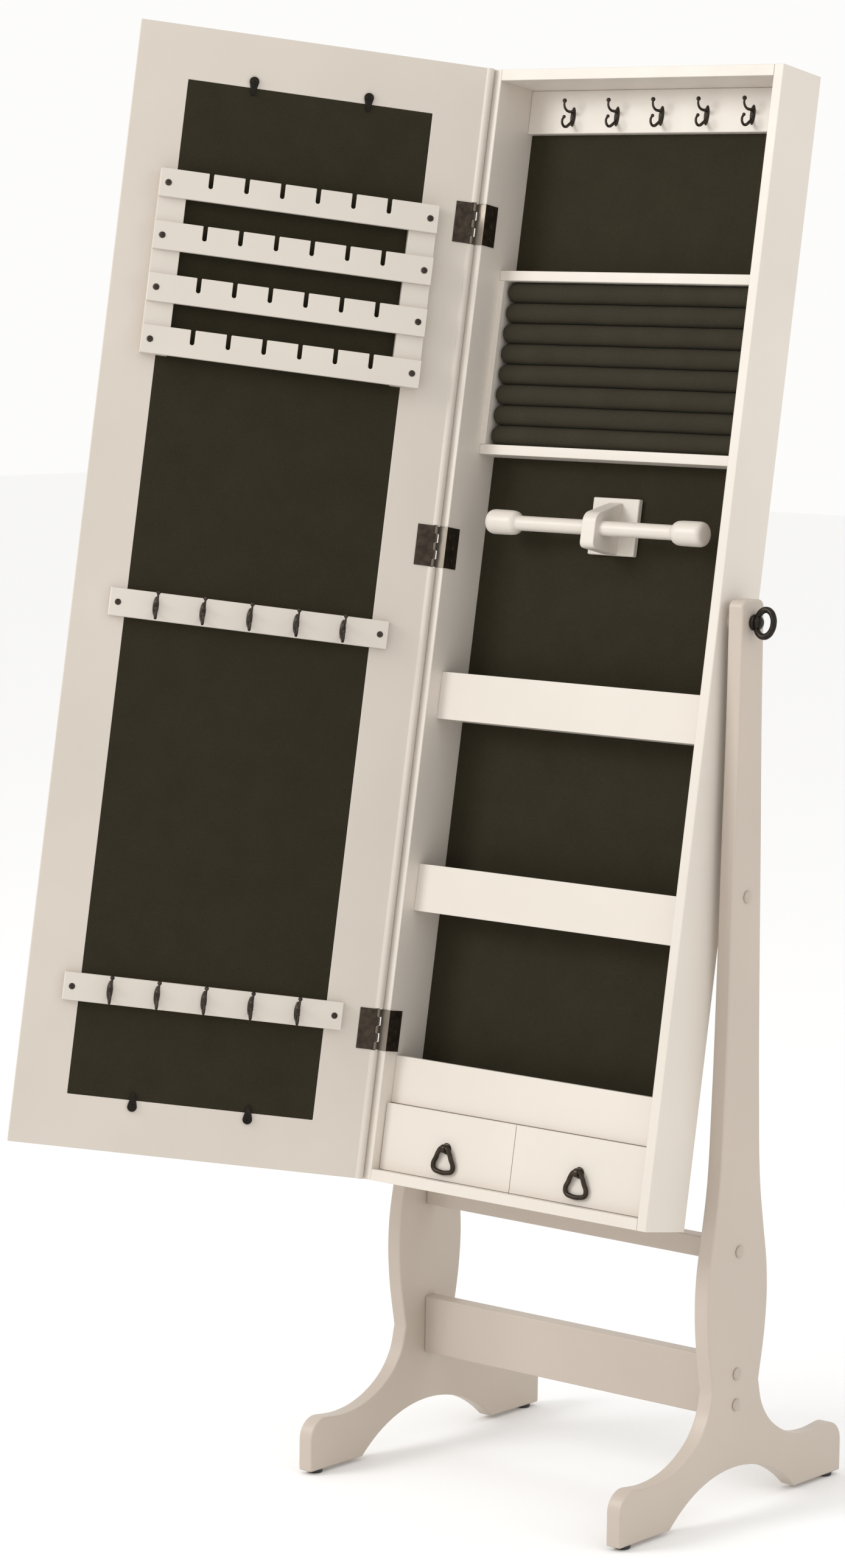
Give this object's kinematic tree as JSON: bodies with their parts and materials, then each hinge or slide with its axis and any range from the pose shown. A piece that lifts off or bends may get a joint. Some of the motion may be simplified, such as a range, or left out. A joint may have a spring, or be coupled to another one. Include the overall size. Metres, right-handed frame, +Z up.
{
  "type": "jewelry armoire",
  "caption": "Freestanding tilting jewelry armoire: a shallow felt-lined cabinet with a mirror door, racks, hooks, ring rolls, bins and drawers, on a two-sided stand.",
  "frame": {"origin": "middle of the rest pose's bounding box, on the floor", "axes": "+Z up, +X to the armoire's right as seen from its front, +Y to its back"},
  "size_m": [0.6983, 0.6049, 1.546],
  "materials": {
    "stand_paint": "satin cream paint on board",
    "case_paint": "satin cream paint on board",
    "door_paint": "satin cream paint on board",
    "fitting_paint": "satin cream paint on turned and shaped wood",
    "felt": "short dark olive-brown felt",
    "felt_rolls": "felt over foam rolls",
    "felt_board": "thin board covered in dark felt",
    "bronze_hardware": "dark bronze",
    "steel_fixings": "zinc-plated",
    "cap_plastic": "cream plastic cap",
    "glide_plastic": "black plastic",
    "spacer_plastic": "cream plastic washer",
    "mirror_glass": "silvered flat glass"
  },
  "bodies": {
    "stand": {"stand_side_left": "stand_paint", "stand_side_right": "stand_paint", "crossbar_lower": "stand_paint", "crossbar_upper": "stand_paint", "crossbar_bolts": "steel_fixings", "bolt_caps": "cap_plastic", "floor_glides": "glide_plastic", "pivot_spacers": "spacer_plastic"},
    "case": {"pivot_inserts": "steel_fixings", "case_side_left": "case_paint", "case_side_right": "case_paint", "case_top": "case_paint", "case_bottom": "case_paint", "case_back": "case_paint", "felt_linings": "felt", "hook_strip": "fitting_paint", "strip_hooks": "bronze_hardware", "shelf_upper": "case_paint", "shelf_lower": "case_paint", "roll_cheeks": "case_paint", "ring_rolls": "felt_rolls", "bracelet_bracket": "fitting_paint", "bracelet_bar": "fitting_paint", "bin_floor_upper": "case_paint", "bin_lip_upper": "case_paint", "bin_floor_lower": "case_paint", "bin_lip_lower": "case_paint", "drawer_shelf": "case_paint", "bin_lip_bottom": "case_paint", "drawer_divider": "case_paint", "hinge_case_leaves": "bronze_hardware", "hinge_pins": "bronze_hardware"},
    "door": {"door_frame": "door_paint", "mirror": "mirror_glass", "mirror_backing": "felt_board", "rack_strips": "door_paint", "earring_rail_1": "door_paint", "earring_rail_2": "door_paint", "earring_rail_3": "door_paint", "earring_rail_4": "door_paint", "hook_rail_upper": "door_paint", "hook_rail_lower": "door_paint", "door_hooks": "bronze_hardware", "door_screws": "bronze_hardware", "hinge_door_leaves": "bronze_hardware"},
    "drawer_left": {"drawer_front_left": "case_paint", "drawer_tray_left": "case_paint", "pull_staple_left": "bronze_hardware"},
    "pull_left": {"pull_ring_left": "bronze_hardware"},
    "ring_bolt_left": {"ring_bolt_left": "bronze_hardware"},
    "drawer_right": {"drawer_front_right": "case_paint", "drawer_tray_right": "case_paint", "pull_staple_right": "bronze_hardware"},
    "pull_right": {"pull_ring_right": "bronze_hardware"},
    "ring_bolt_right": {"ring_bolt_right": "bronze_hardware"},
    "clip_top_hinge": {"panel_clip_top_hinge": "bronze_hardware"},
    "clip_top_free": {"panel_clip_top_free": "bronze_hardware"},
    "clip_bottom_hinge": {"panel_clip_bottom_hinge": "bronze_hardware"},
    "clip_bottom_free": {"panel_clip_bottom_free": "bronze_hardware"}
  },
  "joints": [
    {"name": "case_tilt", "type": "hinge", "parent": "stand", "child": "case", "pos_m": [0.1046, 0.1055, 0.933], "axis": [-1, 0, 0], "range_deg": [-7, 6]},
    {"name": "door_swing", "type": "hinge", "parent": "case", "child": "door", "pos_m": [-0.0854, 0.07096, 0.90836], "axis": [0, -0.165, -0.9863], "range_deg": [-133, 0]},
    {"name": "drawer_left_slide", "type": "slide", "parent": "case", "child": "drawer_left", "axis": [0, -0.9863, 0.165], "range_m": [0, 0.035]},
    {"name": "pull_left_swing", "type": "hinge", "parent": "drawer_left", "child": "pull_left", "pos_m": [0.01578, -0.00787, 0.36036], "axis": [-1, 0, 0], "range_deg": [0, 80]},
    {"name": "ring_bolt_left_turn", "type": "hinge", "parent": "case", "child": "ring_bolt_left", "pos_m": [-0.1114, 0.1055, 0.933], "axis": [-1, 0, 0], "range_deg": [-180, 180]},
    {"name": "drawer_right_slide", "type": "slide", "parent": "case", "child": "drawer_right", "axis": [0, -0.9863, 0.165], "range_m": [0, 0.035]},
    {"name": "pull_right_swing", "type": "hinge", "parent": "drawer_right", "child": "pull_right", "pos_m": [0.19343, -0.00787, 0.36036], "axis": [-1, 0, 0], "range_deg": [0, 80]},
    {"name": "ring_bolt_right_turn", "type": "hinge", "parent": "case", "child": "ring_bolt_right", "pos_m": [0.3206, 0.1055, 0.933], "axis": [1, 0, 0], "range_deg": [-180, 180]},
    {"name": "clip_top_hinge_turn", "type": "hinge", "parent": "door", "child": "clip_top_hinge", "pos_m": [-0.17019, 0.06845, 1.46643], "axis": [-0.7314, 0.6726, -0.1126], "range_deg": [-90, 90]},
    {"name": "clip_top_free_turn", "type": "hinge", "parent": "door", "child": "clip_top_free", "pos_m": [-0.25475, -0.021, 1.4814], "axis": [-0.7314, 0.6726, -0.1126], "range_deg": [-90, 90]},
    {"name": "clip_bottom_hinge_turn", "type": "hinge", "parent": "door", "child": "clip_bottom_hinge", "pos_m": [-0.17019, -0.11311, 0.38152], "axis": [-0.7314, 0.6726, -0.1126], "range_deg": [-90, 90]},
    {"name": "clip_bottom_free_turn", "type": "hinge", "parent": "door", "child": "clip_bottom_free", "pos_m": [-0.25475, -0.20255, 0.39648], "axis": [-0.7314, 0.6726, -0.1126], "range_deg": [-90, 90]}
  ]
}
